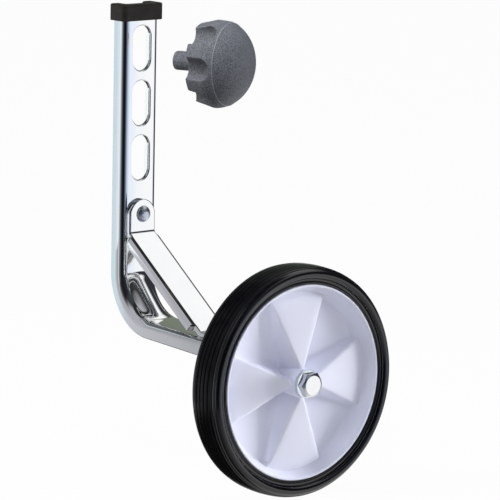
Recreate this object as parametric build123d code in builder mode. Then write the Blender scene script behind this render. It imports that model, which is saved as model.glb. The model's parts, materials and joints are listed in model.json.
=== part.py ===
from build123d import *
import os
from math import cos, radians, sin, tan

# One wheel unit of a child's bicycle stabilisers, in millimetres.
# The origin is the middle slot's centre on the arm's outer face, +Z is up and -Y points outward.

# Arm: a pressed steel channel, open at the back, bent into a foot
channel_width = 26.2
channel_depth = 10.0
channel_sheet = 3.0
channel_inner_radius = 2.5
arm_above_slots = 11.15
bend_radius = 25.0
foot_slope = 2.6
tongue_width = 22.0
tongue_bend_radius = 1.5
tongue_run = 7.0
tongue_below_axle = 11.0
dart_radius = 8.3
dart_height = 5.0
tip_flat = 0.9

# Slots for the bicycle's axle
slot_count = 3
slot_width = 13.0
slot_length = 26.0
slot_bridge = 5.65

# Brace: a pressed strap with down-turned sides, riveted to the arm and to the foot
brace_sheet = 2.8
brace_width = 23.0
brace_flange_depth = 6.0
brace_corner_radius = 1.2
brace_flange_radius = 2.4
brace_angle = 36.0
brace_bend_radius = 1.2
brace_below_slots = 10.95
brace_tab_width = 19.0
brace_tab_rise = 19.2
brace_tab_run = 20.0
brace_gap = 0.3

# Rivets
rivet_radius = 2.5
rivet_head_radius = 4.85
rivet_head_height = 3.2
rivet_tail_radius = 4.0
rivet_tail_height = 1.8
rivet_clearance = 0.1
rivet_edge_distance = 8.4

# End cap
cap_wall = 1.4
cap_skirt = 8.2
cap_clearance = 0.1
cap_corner_radius = 3.0
cap_edge_radius = 0.9

# Wheel
wheel_offset = 137.2
axle_drop = 138.7
axle_below_web = 11.6
hub_width = 22.6
hub_radius = 8.2
petal_count = 4
petal_sheet = 2.5
petal_hub_height = 16.6
petal_rim_height = 7.0
petal_bevel = 4.0
petal_bevel_drop = 1.2
sector_wall = 2.0
sector_draft = 17.0
rim_depth = 6.2
rim_width = 19.0
rim_edge = 1.1
groove_width = 8.0
groove_depth = 2.0

# Tyre
tyre_radius = 65.0
tyre_thickness = 10.3
tyre_overhang = 2.0
tyre_fit = 0.05
tread_groove_count = 4
tread_groove_pitch = 3.1
tread_groove_width = 0.9
tread_groove_depth = 0.6
crown_half_width = 7.4
crown_drop = 0.5
shoulder_drop = 0.9
shoulder_half_width = 9.0
sidewall_ring_drop = 4.4
sidewall_ring_width = 5.2
sidewall_ring_height = 1.6
bead_recess = 0.7
bead_ridge_rise = 1.3
bead_ridge_width = 1.2
bead_ridge_height = 0.6
valley_depth = 0.3

# Axle
bolt_radius = 4.0
bolt_length = 40.0
bolt_clearance = 0.2
hex_sides = 6
hex_across_flats = 13.0
hex_chamfer_angle = 30.0
head_height = 4.5
head_face_radius = 5.4
washer_radius = 8.0
washer_thickness = 1.6
sleeve_wall = 1.0
sleeve_proud = 0.3
running_clearance = 0.05
nut_height = 6.5
nut_collar_height = 1.5
nut_collar_radius = 5.8
nut_ring_wall = 1.0
nut_ring_height = 2.0
nut_ring_fit = 0.05
thread_clearance = 0.05
thread_pitch = 1.25

# Hand knob, shown taken off in front of the top slot
knob_distance = 78.0
knob_height = 30.6
knob_turn = 24.0
knob_radius = 25.0
knob_dome_height = 13.2
knob_band = 6.2
knob_skirt = 16.8
knob_taper = 2.6
flute_count = 7
flute_turn = 3.0
flute_radius = 6.2
flute_depth = 7.6
flute_end_gap = 1.0
boss_wall = 1.35
boss_length = 16.4
boss_edge_radius = 0.8
insert_radius = 4.0
insert_length = 14.0
insert_bore_radius = 2.5
insert_fit = 0.05

# Heights of the slots, and of what is placed above and below them
slot_pitch = slot_length + slot_bridge
slots_half = (slot_pitch * (slot_count - 1) + slot_length) / 2
arm_top = slots_half + arm_above_slots

# Radii of the wheel, from the tread inward
rim_radius = tyre_radius - tyre_thickness
web_radius = rim_radius - rim_depth

# Places along the axle, measured outward from the arm's outer face
sleeve_length = hub_width + 2 * sleeve_proud
sleeve_back = wheel_offset - sleeve_length / 2
sleeve_front = wheel_offset + sleeve_length / 2
tongue_face = sleeve_back - washer_thickness
nut_seat = tongue_face - channel_sheet
head_seat = sleeve_front + washer_thickness

# Outer radius of the channel's rounded corners
channel_corner_radius = channel_inner_radius + channel_sheet

# The foot's slope, and the bend between the upright and the foot
slope = radians(foot_slope)
foot_along = Vector(0, -cos(slope), -sin(slope))
foot_up = Vector(0, -sin(slope), cos(slope))
bend_end_y = -bend_radius * (1 - sin(slope))
bend_end_z = axle_below_web - axle_drop + (tongue_face + bend_end_y) * tan(slope)
bend_centre_z = bend_end_z + bend_radius * cos(slope)
bend_end = Vector(0, bend_end_y, bend_end_z)
flange_end_y = tongue_run - tongue_face
foot_length = (bend_end_y - flange_end_y) / cos(slope)
foot_end = bend_end + foot_along * foot_length

# Brace places: the bend on the arm, the diagonal's direction and the bend on the foot
diagonal = radians(brace_angle)
diagonal_along = Vector(0, -cos(diagonal), -sin(diagonal))
tab_top = Vector(0, -brace_sheet, -slots_half - brace_below_slots)
upper_bend = tab_top - Vector(0, 0, brace_tab_rise)
seat_start = bend_end + foot_up * brace_sheet
diagonal_length = (seat_start - upper_bend).dot(foot_up) / diagonal_along.dot(foot_up)
lower_bend = upper_bend + diagonal_along * diagonal_length
lower_tab_end = lower_bend + foot_along * brace_tab_run

# Places of the two rivets, on the brace's outer face
upper_rivet_seat = Plane(
    origin=tab_top - Vector(0, 0, rivet_edge_distance),
    x_dir=(1, 0, 0),
    z_dir=(0, -1, 0),
)
lower_rivet_seat = Plane(
    origin=lower_tab_end - foot_along * rivet_edge_distance,
    x_dir=(1, 0, 0),
    z_dir=foot_up,
)
rivet_grip = brace_sheet + channel_sheet

# The wheel's centre plane, and the axle's line through it
wheel_centre = Vector(0, -wheel_offset, -axle_drop)
wheel_plane = Plane(origin=wheel_centre, x_dir=(1, 0, 0), z_dir=(0, -1, 0))
axle_line = Axis(wheel_centre, (0, -1, 0))
wheel_section = Plane(origin=wheel_centre, x_dir=(1, 0, 0), z_dir=(0, 0, -1))


def across_axle(distance):
    """Plane square to the axle, at a distance outward from the arm's outer face."""
    return wheel_plane.offset(distance - wheel_offset)


def channel_section(plane, growth, corner_radius):
    """C-shaped sheet section, its web's outer face on the local x axis, grown for what fits round it."""
    hollow_width = channel_width - 2 * channel_sheet
    with BuildSketch(plane) as section:
        with Locations((0, -growth)):
            Rectangle(
                channel_width + 2 * growth,
                channel_depth + 2 * growth,
                align=(Align.CENTER, Align.MIN),
            )
        with Locations((0, channel_depth + growth)):
            Rectangle(
                hollow_width - 2 * growth,
                channel_depth - channel_sheet,
                align=(Align.CENTER, Align.MAX),
                mode=Mode.SUBTRACT,
            )
        fillet(section.vertices().group_by(Axis.Y)[1], channel_inner_radius - growth)
        fillet(section.vertices().group_by(Axis.Y)[0], corner_radius)
    return section.sketch


# Rivet holes through the brace and the sheet behind it
with BuildPart() as rivet_holes:
    for seat in (upper_rivet_seat, lower_rivet_seat):
        with BuildSketch(seat):
            Circle(rivet_radius + rivet_clearance)
        extrude(amount=-rivet_grip)

# Inside of the bend, which limits the pressed dart to the arm's outer side
with BuildPart() as bend_dart:
    with BuildSketch(Plane.YZ):
        with BuildLine():
            web_side = Line((0, bend_centre_z + 2 * dart_radius), (0, bend_centre_z))
            corner = JernArc(web_side @ 1, web_side % 1, bend_radius, foot_slope - 90)
            foot_side = PolarLine(corner @ 1, 2 * dart_radius, 180 + foot_slope)
            Line(foot_side @ 1, web_side @ 0)
        make_face()
    extrude(amount=channel_width / 2, both=True)
    bend_middle = radians(foot_slope - 90) / 2
    dart_reach = bend_radius - dart_height + dart_radius
    outward = Vector(0, cos(bend_middle), sin(bend_middle))
    dart_plane = Plane(
        origin=Vector(0, -bend_radius, bend_centre_z) + outward * dart_reach,
        x_dir=(1, 0, 0),
        z_dir=(0, -sin(bend_middle), cos(bend_middle)),
    )
    with BuildSketch(dart_plane):
        Circle(dart_radius)
    extrude(amount=2 * bend_radius, both=True, mode=Mode.INTERSECT)

# Arm, foot and axle tongue
with BuildPart() as arm_channel:
    with BuildLine(Plane.YZ) as route:
        upright = Line((0, arm_top), (0, bend_centre_z))
        bend = JernArc(upright @ 1, upright % 1, bend_radius, foot_slope - 90)
        PolarLine(bend @ 1, foot_length, 180 + foot_slope)
    sweep(channel_section(Plane.XY.offset(arm_top), 0, channel_corner_radius), path=route.line)
    with BuildSketch(Plane.YZ) as tongue_side:
        foot_under = foot_end - foot_up * channel_sheet
        tongue_top = axle_below_web - axle_drop
        tongue_inner_top = tongue_top + (channel_sheet * tan(slope)) - channel_sheet / cos(slope)
        tongue_tip = -axle_drop - tongue_below_axle
        Polygon(
            (foot_end.Y, foot_end.Z),
            (-tongue_face, tongue_top),
            (-tongue_face, tongue_tip),
            (-nut_seat, tongue_tip),
            (-nut_seat, tongue_inner_top),
            (foot_under.Y, foot_under.Z),
            align=None,
        )
        outer_corner = tongue_side.vertices().sort_by_distance((-tongue_face, tongue_top))[0]
        fillet(outer_corner, tongue_bend_radius + channel_sheet)
        inner_corner = tongue_side.vertices().sort_by_distance((-nut_seat, tongue_inner_top))[0]
        fillet(inner_corner, tongue_bend_radius)
    extrude(amount=tongue_width / 2, both=True)
    tip_corners = arm_channel.edges().filter_by(Axis.Y).group_by(Axis.Z)[0]
    fillet(tip_corners, (tongue_width - tip_flat) / 2)
    add(bend_dart.part)
    with BuildSketch(dart_plane):
        Circle(dart_radius - channel_sheet)
    extrude(amount=bend_radius, both=True, mode=Mode.SUBTRACT)
    with BuildSketch(Plane.XZ):
        with GridLocations(0, slot_pitch, 1, slot_count):
            SlotOverall(slot_length, slot_width, rotation=90)
    extrude(amount=2 * channel_sheet, both=True, mode=Mode.SUBTRACT)
    with BuildSketch(across_axle(tongue_face)):
        Circle(bolt_radius + bolt_clearance)
    extrude(amount=-channel_sheet, mode=Mode.SUBTRACT)
    add(rivet_holes.part, mode=Mode.SUBTRACT)

# Flanged middle of the brace, kept clear of the arm and the foot at its two ends
foot_angle = diagonal - slope
flange_start = (brace_flange_depth * sin(diagonal) - brace_sheet + brace_gap) / cos(diagonal)
flange_stop = (brace_flange_depth * cos(foot_angle) - brace_sheet + brace_gap) / sin(foot_angle)
flange_length = diagonal_length - flange_start - flange_stop
flange_origin = upper_bend + diagonal_along * flange_start
with BuildPart() as brace_channel:
    with BuildSketch(Plane(origin=flange_origin, x_dir=(1, 0, 0), z_dir=diagonal_along)) as brace_section:
        Rectangle(brace_width, brace_flange_depth, align=(Align.CENTER, Align.MAX))
        with Locations((0, -brace_sheet)):
            Rectangle(
                brace_width - 2 * brace_sheet,
                brace_flange_depth,
                align=(Align.CENTER, Align.MAX),
                mode=Mode.SUBTRACT,
            )
        fillet(brace_section.vertices().group_by(Axis.Y)[-1], brace_corner_radius)
    extrude(amount=flange_length)
    with BuildSketch(Plane(origin=flange_origin, x_dir=diagonal_along, z_dir=(-1, 0, 0))) as flange_side:
        Rectangle(flange_length, brace_flange_depth, align=(Align.MIN, Align.MAX))
        fillet(flange_side.vertices().group_by(Axis.Y)[0], brace_flange_radius)
    extrude(amount=brace_width, both=True, mode=Mode.INTERSECT)

# Brace: the strap with its two tabs, and its flanged middle
with BuildPart() as brace:
    with BuildSketch(Plane.YZ):
        with BuildLine():
            FilletPolyline(
                (tab_top.Y, tab_top.Z),
                (upper_bend.Y, upper_bend.Z),
                (lower_bend.Y, lower_bend.Z),
                (lower_tab_end.Y, lower_tab_end.Z),
                radius=brace_bend_radius,
            )
            offset(amount=brace_sheet, side=Side.LEFT)
        make_face()
    extrude(amount=brace_tab_width / 2, both=True)
    tab_round = (brace_tab_width - tip_flat) / 2
    fillet(brace.edges().filter_by(Axis.Y).group_by(Axis.Z)[-1], tab_round)
    fillet(brace.edges().filter_by(Axis((0, 0, 0), foot_up)).group_by(Axis.Y)[0], tab_round)
    add(brace_channel.part)
    add(rivet_holes.part, mode=Mode.SUBTRACT)


def round_rivet(seat):
    """Round-head rivet with its head on the seat plane and its formed tail behind both sheets."""
    half_section = Plane(origin=seat.origin, x_dir=seat.x_dir, z_dir=-seat.y_dir)
    with BuildPart() as rivet:
        with BuildSketch(half_section):
            with BuildLine():
                TangentArc((0, rivet_head_height), (rivet_head_radius, 0), tangent=(1, 0))
                Polyline(
                    (rivet_head_radius, 0),
                    (rivet_radius, 0),
                    (rivet_radius, -rivet_grip),
                    (rivet_tail_radius, -rivet_grip),
                )
                tail = TangentArc(
                    (0, -rivet_grip - rivet_tail_height),
                    (rivet_tail_radius, -rivet_grip),
                    tangent=(1, 0),
                )
                Line(tail @ 0, (0, rivet_head_height))
            make_face()
        revolve(axis=Axis(seat.origin, seat.z_dir))
    return rivet.part


# End cap, a C-shaped plastic edge that straddles the sheet
cap_bottom = arm_top - cap_skirt
with BuildPart() as end_cap:
    cap_base = Plane.XY.offset(cap_bottom)
    cap_outer = channel_section(cap_base, cap_clearance + cap_wall, cap_corner_radius)
    extrude(cap_outer, amount=cap_skirt + cap_wall)
    cap_inner = channel_section(cap_base, cap_clearance, channel_corner_radius + cap_clearance)
    extrude(cap_inner, amount=cap_skirt, mode=Mode.SUBTRACT)
    fillet(end_cap.faces().sort_by(Axis.Z)[-1].outer_wire().edges(), cap_edge_radius)


def hexagon_prism(height, face_radius):
    """Hexagon at the axle's own size, its outer face chamfered down to a round land."""
    corner_radius = hex_across_flats / 2 / cos(radians(180 / hex_sides))
    chamfer_drop = (corner_radius - face_radius) * tan(radians(hex_chamfer_angle))
    with BuildPart() as prism:
        with BuildSketch():
            RegularPolygon(hex_across_flats / 2, hex_sides, major_radius=False)
        extrude(amount=height)
        with BuildSketch(Plane.XZ):
            Polygon(
                (0, 0),
                (corner_radius, 0),
                (corner_radius, height - chamfer_drop),
                (face_radius, height),
                (0, height),
                align=None,
            )
        revolve(axis=Axis.Z, mode=Mode.INTERSECT)
    return prism.part


def flat_washer(distance):
    """Flat washer with its inner face at a distance outward from the arm."""
    with BuildPart() as washer:
        with BuildSketch(across_axle(distance)):
            Circle(washer_radius)
            Circle(bolt_radius + bolt_clearance, mode=Mode.SUBTRACT)
        extrude(amount=washer_thickness)
    return washer.part


# Axle bolt
with BuildPart() as axle_bolt:
    add(across_axle(head_seat).location * hexagon_prism(head_height, head_face_radius))
    with BuildSketch(across_axle(head_seat)):
        Circle(bolt_radius)
    extrude(amount=-bolt_length)
    chamfer(axle_bolt.edges().sort_by(Axis.Y)[-1], thread_pitch)

# Spacer sleeve that the hub turns on
sleeve_radius = bolt_radius + bolt_clearance + sleeve_wall
with BuildPart() as axle_sleeve:
    with BuildSketch(across_axle(sleeve_back)):
        Circle(sleeve_radius)
        Circle(bolt_radius + bolt_clearance, mode=Mode.SUBTRACT)
    extrude(amount=sleeve_length)

# Lock nut behind the tongue, with its nylon ring in the collar
nut_side = Plane(origin=(0, -nut_seat, -axle_drop), x_dir=(1, 0, 0), z_dir=(0, 1, 0))
nylon_radius = bolt_radius + thread_clearance + nut_ring_wall
with BuildPart() as lock_nut:
    add(nut_side.location * hexagon_prism(nut_height, nut_collar_radius))
    with BuildSketch(nut_side.offset(nut_height)):
        Circle(nut_collar_radius)
    extrude(amount=nut_collar_height)
    with BuildSketch(nut_side):
        Circle(bolt_radius + thread_clearance)
    extrude(amount=nut_height + nut_collar_height, mode=Mode.SUBTRACT)
    with BuildSketch(nut_side.offset(nut_height + nut_collar_height)):
        Circle(nylon_radius + nut_ring_fit)
    extrude(amount=-nut_ring_height, mode=Mode.SUBTRACT)

with BuildPart() as nut_ring:
    with BuildSketch(nut_side.offset(nut_height + nut_collar_height)):
        Circle(nylon_radius)
        Circle(bolt_radius + thread_clearance, mode=Mode.SUBTRACT)
    extrude(amount=-nut_ring_height)

# Wheel disc: petals meet the hub in front and, turned by one sector, behind
hub_half = hub_width / 2
rim_half = rim_width / 2
petal_hub_half = petal_hub_height / 2
petal_half = petal_rim_height / 2
petal_end_half = petal_half - petal_bevel_drop
sector_angle = 180 / petal_count

# The rim's inner cone rises from the pockets' floor to the rim's edge, and the petals end on it
floor_height = petal_sheet - petal_half
cone_slope = (rim_radius - rim_edge - web_radius) / (rim_half - floor_height)
petal_end_radius = web_radius + cone_slope * (petal_end_half - floor_height)


def sector_pocket(side):
    """Pocket between two petals, along local X, of the disc's front (side 1) or its back (side -1)."""
    half_angle = radians(sector_angle / 2)
    apex = sector_wall / 2 / sin(half_angle)
    reach = apex + rim_radius
    spread = rim_radius * tan(half_angle)
    lean = side * tan(radians(sector_draft)) / sin(half_angle)
    with BuildPart() as pocket:
        with BuildSketch():
            Polygon((apex, 0), (reach, -spread), (reach, spread), align=None)
        extrude(amount=hub_width, dir=(-lean, 0, 1), both=True)
        with BuildSketch(Plane.XZ):
            Polygon(
                (hub_radius, side * (petal_sheet - petal_hub_half)),
                (web_radius, side * floor_height),
                (petal_end_radius, side * petal_end_half),
                (petal_end_radius, side * hub_half),
                (hub_radius, side * hub_half),
                align=None,
            )
        revolve(axis=Axis.Z, mode=Mode.INTERSECT)
    return pocket.part


with BuildPart() as wheel_disc:
    with BuildSketch(wheel_section):
        with BuildLine():
            Polyline(
                (sleeve_radius + running_clearance, 0),
                (sleeve_radius + running_clearance, hub_half),
                (hub_radius, hub_half),
                (hub_radius, petal_hub_half),
                (petal_end_radius - petal_bevel, petal_half),
                (petal_end_radius, petal_end_half),
                (rim_radius - rim_edge, rim_half),
                (rim_radius, rim_half),
                (rim_radius, groove_width / 2),
                (rim_radius - groove_depth, groove_width / 2),
                (rim_radius - groove_depth, 0),
            )
            mirror(about=Plane.XZ)
        make_face()
    revolve(axis=axle_line)
    for side, first_angle in ((1, sector_angle), (-1, 0)):
        with Locations(wheel_plane):
            with PolarLocations(0, petal_count, first_angle):
                add(sector_pocket(side), mode=Mode.SUBTRACT)


def crown(across):
    """Radius of the tread's crown at a distance from the wheel's middle plane."""
    return tyre_radius - crown_drop * (across / crown_half_width) ** 2


# Tyre: half of its section, mirrored, with a rib seated in the rim's groove
seat_radius = rim_radius + tyre_fit
bead_face = rim_half - bead_recess
bead_ridge_radius = rim_radius + bead_ridge_rise
ring_top = rim_half + tyre_overhang
ring_base = ring_top - sidewall_ring_height
ring_radius = tyre_radius - sidewall_ring_drop
ring_inner = ring_radius - sidewall_ring_width / 2
ring_outer = ring_radius + sidewall_ring_width / 2
shoulder_radius = tyre_radius - shoulder_drop
shoulder_land = (shoulder_half_width + crown_half_width) / 2
with BuildPart() as tyre:
    with BuildSketch(wheel_section):
        with BuildLine():
            Polyline(
                (seat_radius - groove_depth, 0),
                (seat_radius - groove_depth, groove_width / 2 - tyre_fit),
                (seat_radius, groove_width / 2 - tyre_fit),
                (seat_radius, bead_face),
                (bead_ridge_radius - bead_ridge_width / 2, bead_face),
                (bead_ridge_radius, bead_face + bead_ridge_height),
                (bead_ridge_radius + bead_ridge_width / 2, bead_face),
                (ring_inner, bead_face),
                (ring_inner, ring_base),
            )
            ring = ThreePointArc(
                (ring_inner, ring_base),
                (ring_radius, ring_top),
                (ring_outer, ring_base),
            )
            SagittaArc(ring @ 1, (shoulder_radius, shoulder_half_width), valley_depth)
            tread = [
                (shoulder_radius, shoulder_half_width),
                (shoulder_radius, shoulder_land),
                (crown(crown_half_width) - tread_groove_depth, crown_half_width),
                (crown(crown_half_width), crown_half_width),
            ]
            for step in reversed(range(tread_groove_count // 2)):
                middle = (step + 0.5) * tread_groove_pitch
                tread.append((crown(middle), middle + tread_groove_width / 2))
                tread.append((crown(middle) - tread_groove_depth, middle))
                tread.append((crown(middle), middle - tread_groove_width / 2))
            tread.append((tyre_radius, 0))
            Polyline(*tread)
            mirror(about=Plane.XZ)
        make_face()
    revolve(axis=axle_line)

# Hand knob: its axis is level and turned towards +X
turn = radians(knob_turn)
knob_centre = Vector(0, -knob_distance, knob_height)
knob_along = Vector(sin(turn), -cos(turn), 0)
knob_side = Vector(-cos(turn), -sin(turn), 0)
knob_plane = Plane(origin=knob_centre, x_dir=knob_side, z_dir=knob_along)
knob_section = Plane(origin=knob_centre, x_dir=knob_side, z_dir=(0, 0, 1))
knob_line = Axis(knob_centre, knob_along)
boss_radius = insert_radius + insert_fit + boss_wall
boss_end = knob_skirt + boss_length
flute_circle = knob_radius + flute_radius - flute_depth
flute_start = knob_plane.offset(-flute_end_gap - flute_radius)

with BuildPart() as knob_grip:
    with BuildSketch(knob_section):
        with BuildLine():
            dome = TangentArc((0, knob_dome_height), (knob_radius, 0), tangent=(1, 0))
            Polyline(
                dome @ 1,
                (knob_radius, -knob_band),
                (knob_radius - knob_taper, -knob_skirt),
                (boss_radius, -knob_skirt),
                (boss_radius, -boss_end),
                (0, -boss_end),
                dome @ 0,
            )
        make_face()
    revolve(axis=knob_line)
    with BuildSketch(flute_start):
        with PolarLocations(flute_circle, flute_count, flute_turn):
            Circle(flute_radius)
    extrude(amount=-knob_skirt, mode=Mode.SUBTRACT)
    with Locations(flute_start):
        with PolarLocations(flute_circle, flute_count, flute_turn):
            Sphere(flute_radius, mode=Mode.SUBTRACT)
    boss_rim = knob_grip.edges().filter_by(GeomType.CIRCLE).sort_by(knob_line)[0]
    fillet(boss_rim, boss_edge_radius)
    with BuildSketch(knob_plane.offset(-boss_end)):
        Circle(insert_radius + insert_fit)
    extrude(amount=insert_length, mode=Mode.SUBTRACT)

# Threaded insert in the boss
with BuildPart() as knob_insert:
    with BuildSketch(knob_plane.offset(-boss_end)):
        Circle(insert_radius)
        Circle(insert_bore_radius, mode=Mode.SUBTRACT)
    extrude(amount=insert_length)

pieces = {
    "arm_channel": arm_channel.part,
    "brace": brace.part,
    "upper_rivet": round_rivet(upper_rivet_seat),
    "lower_rivet": round_rivet(lower_rivet_seat),
    "end_cap": end_cap.part,
    "axle_bolt": axle_bolt.part,
    "front_washer": flat_washer(sleeve_front),
    "axle_sleeve": axle_sleeve.part,
    "rear_washer": flat_washer(tongue_face),
    "lock_nut": lock_nut.part,
    "nut_ring": nut_ring.part,
    "wheel_disc": wheel_disc.part,
    "tyre": tyre.part,
    "knob_grip": knob_grip.part,
    "knob_insert": knob_insert.part,
}

os.makedirs("parts", exist_ok=True)
for name, piece in pieces.items():
    piece.label = name
    export_step(piece, f"parts/{name}.step")
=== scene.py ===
# %% [markdown]
# # A stabiliser wheel for a child's bicycle
# A stabiliser is a bent steel arm that carries a small wheel beside the bicycle's own rear wheel. The
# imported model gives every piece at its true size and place, in metres. This lesson gives each piece its
# finish, rebuilds the pieces whose soft edges and fine detail a camera would see, and sets them in a
# white studio.

# %% Load the frame
import json
import math

import bmesh
import bpy
from mathutils import Matrix, Vector


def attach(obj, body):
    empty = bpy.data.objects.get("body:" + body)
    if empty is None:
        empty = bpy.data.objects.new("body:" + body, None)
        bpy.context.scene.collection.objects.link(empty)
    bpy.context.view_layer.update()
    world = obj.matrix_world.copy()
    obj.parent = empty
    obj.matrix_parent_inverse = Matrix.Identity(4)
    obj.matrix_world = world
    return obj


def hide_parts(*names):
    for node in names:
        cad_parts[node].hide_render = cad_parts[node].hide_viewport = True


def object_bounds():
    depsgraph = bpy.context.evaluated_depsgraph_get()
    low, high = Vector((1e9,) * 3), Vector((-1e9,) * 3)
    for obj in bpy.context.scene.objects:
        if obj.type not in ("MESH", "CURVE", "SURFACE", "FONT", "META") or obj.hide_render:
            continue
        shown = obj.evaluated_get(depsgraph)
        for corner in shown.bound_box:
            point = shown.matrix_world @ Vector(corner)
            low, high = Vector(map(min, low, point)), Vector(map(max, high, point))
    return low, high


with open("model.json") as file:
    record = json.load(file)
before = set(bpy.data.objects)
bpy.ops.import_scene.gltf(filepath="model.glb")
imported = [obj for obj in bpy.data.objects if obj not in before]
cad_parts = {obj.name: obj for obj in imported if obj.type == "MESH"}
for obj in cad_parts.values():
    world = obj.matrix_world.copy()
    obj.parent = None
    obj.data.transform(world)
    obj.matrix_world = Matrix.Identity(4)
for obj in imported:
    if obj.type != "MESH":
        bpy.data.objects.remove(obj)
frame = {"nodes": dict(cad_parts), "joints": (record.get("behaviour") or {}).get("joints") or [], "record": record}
cad_low, cad_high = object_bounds()
nodes = frame["nodes"]
joints = {joint["name"]: joint for joint in frame["joints"]}
wheel_centre, outward = [Vector(joints["wheel_spin"][key]) for key in ("pos_m", "axis")]
knob_centre, knob_axis = [Vector(joints["knob_turn"][key]) for key in ("pos_m", "axis")]
mm = 0.001
print("nodes:", len(nodes), "box in mm:", [round(side / mm, 1) for side in cad_high - cad_low])

# %% [markdown]
# ## Camera
# A product photograph is taken from far away with a long lens, so that the object's sides stay nearly
# parallel. The camera could be turned by hand until it fits. Here it is placed by the angles that it
# was seen from, round a point near the object's middle, because angles are easy to read and to correct.

# %% Camera
camera_azimuth = -40.30
camera_elevation = 9.77
camera_roll = math.radians(1.13)
camera_distance = 2137.8 * mm
camera_aim = Vector((14.2, -82.1, -75.1)) * mm
camera_lens = 273.37


def direction(compass_angle, height_angle):
    """The way to a compass angle, 0 in front of the wheel and 90 on its right, and a height angle."""
    turn, lift = math.radians(compass_angle), math.radians(height_angle)
    return Vector((math.sin(turn) * math.cos(lift), -math.cos(turn) * math.cos(lift), math.sin(lift)))


def new_object(name, data):
    """An object in the scene for a mesh, a curve, a lamp or a camera."""
    thing = bpy.data.objects.new(name, data)
    bpy.context.scene.collection.objects.link(thing)
    return thing


towards_camera = direction(camera_azimuth, camera_elevation)
camera = new_object("camera", bpy.data.cameras.new("camera"))
camera.data.lens = camera_lens
camera.location = camera_aim + towards_camera * camera_distance
facing = towards_camera.to_track_quat("Z", "Y").to_matrix().to_4x4()
camera.rotation_euler = (facing @ Matrix.Rotation(camera_roll, 4, "Z")).to_euler()
bpy.context.scene.camera = camera
bpy.context.scene.view_settings.view_transform = "Standard"
print("camera at", [round(value, 3) for value in camera.location])

# %% [markdown]
# ## Studio
# Bright metal shows what stands round it, so the studio matters as much as the metal. Real cards and
# lamps could stand in the scene, but they would have to be hidden from every other view. So the world
# does it: it is white where the camera looks, a soft light that is stronger on the right for matt
# surfaces, and for reflections three rings of cards, below the horizon, above it and overhead, with a
# half-lit ground and a dark zenith. Each card has a compass angle and a colour or a grey.

# %% World cards
soft_sides = [
    (-180, (0.3, 0.3, 0.33)),
    (-100, (0.2, 0.21, 0.25)),
    (-30, (0.94, 0.96, 1.14)),
    (60, (1.64, 1.66, 1.86)),
    (120, (1.55, 1.56, 1.66)),
    (180, (0.3, 0.3, 0.33)),
]
soft_below = [(-180, (0.15, 0.15, 0.17)), (60, (0.5, 0.5, 0.55)), (180, (0.15, 0.15, 0.17))]
soft_strength = 0.2
low_cards = [
    (-180, 1.0),
    (-139, 1.0),
    (-128, (0.58, 0.66, 0.7)),
    (-116, (0.87, 0.94, 1.0)),
    (-98, (0.72, 0.77, 0.82)),
    (-82, (0.2, 0.22, 0.25)),
    (-64, 0.02),
    (-36, 0.0),
    (-20, (0.08, 0.1, 0.14)),
    (-4, (0.34, 0.42, 0.55)),
    (14, (0.62, 0.71, 0.88)),
    (32, (0.84, 0.9, 1.0)),
    (40, 1.0),
    (60, 1.0),
    (74, (0.2, 0.2, 0.3)),
    (86, (0.03, 0.03, 0.05)),
    (124, (0.03, 0.03, 0.04)),
    (134, 1.0),
    (180, 1.0),
]
high_cards = [
    (-180, 0.03),
    (-164, 0.03),
    (-150, (0.26, 0.28, 0.29)),
    (-134, (0.44, 0.44, 0.48)),
    (-100, (0.4, 0.4, 0.44)),
    (-80, 0.05),
    (-60, 0.01),
    (-15, (0.02, 0.02, 0.03)),
    (10, (0.2, 0.25, 0.3)),
    (34, (0.03, 0.03, 0.04)),
    (120, (0.03, 0.03, 0.04)),
    (136, (0.2, 0.23, 0.18)),
    (158, (0.12, 0.14, 0.12)),
    (180, 0.03),
]
ceiling_cards = [
    (-180, 0.03),
    (-125, (0.42, 0.42, 0.46)),
    (-85, (0.42, 0.42, 0.46)),
    (-55, 0.04),
    (0, (0.05, 0.06, 0.07)),
    (50, (0.8, 0.82, 0.85)),
    (74, 1.0),
    (120, 1.0),
    (150, 0.4),
    (180, 0.03),
]
zenith_cards = [(-180, 0.02), (180, 0.02)]
ground_cards = [(-180, 0.02), (-110, 0.05), (-40, 0.3), (60, 0.85), (120, 0.8), (150, 0.02), (180, 0.02)]
# each ring, and the heights on the unit sphere between which it takes over from the one below
rings = [
    (low_cards, (-0.45, -0.3)),
    (high_cards, (-0.04, 0.07)),
    (ceiling_cards, (0.55, 0.72)),
    (zenith_cards, (0.88, 0.93)),
]
soft_rise = -0.55, 0.25
print("cards in each ring:", [len(cards) for cards, heights in rings])

# %% Node helpers
def fill(tree, node, inputs):
    """Links a node's inputs to sockets or to other nodes' first outputs, or sets plain values."""
    for socket, value in inputs.items():
        source = value.outputs[0] if isinstance(value, bpy.types.Node) else value
        if isinstance(source, bpy.types.NodeSocket):
            tree.links.new(source, node.inputs[socket])
        else:
            node.inputs[socket].default_value = value


def add(tree, kind, inputs=None, **settings):
    """A new node of a kind, with its settings and its inputs."""
    node = tree.nodes.new(kind)
    for setting, value in settings.items():
        setattr(node, setting, value)
    fill(tree, node, inputs or {})
    return node


def spread(tree, value, start, end, low=0, high=1):
    """A value's stretch from start to end, mapped from low to high."""
    inputs = {"Value": value, "From Min": start, "From Max": end, "To Min": low, "To Max": high}
    return add(tree, "ShaderNodeMapRange", inputs)


def ramp(tree, share, stops):
    """The colour at a share of the way along some stops, each a place and a colour or a plain grey."""
    node = add(tree, "ShaderNodeValToRGB", {"Fac": share})
    first, last = stops[0][0], stops[-1][0]
    marks = node.color_ramp.elements
    for index, (place, colour) in enumerate(stops):
        position = (place - first) / (last - first)
        mark = marks[index] if index < 2 else marks.new(position)
        mark.position = position
        red, green, blue = colour if isinstance(colour, tuple) else (colour, colour, colour)
        mark.color = (red, green, blue, 1)
    return node


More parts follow.
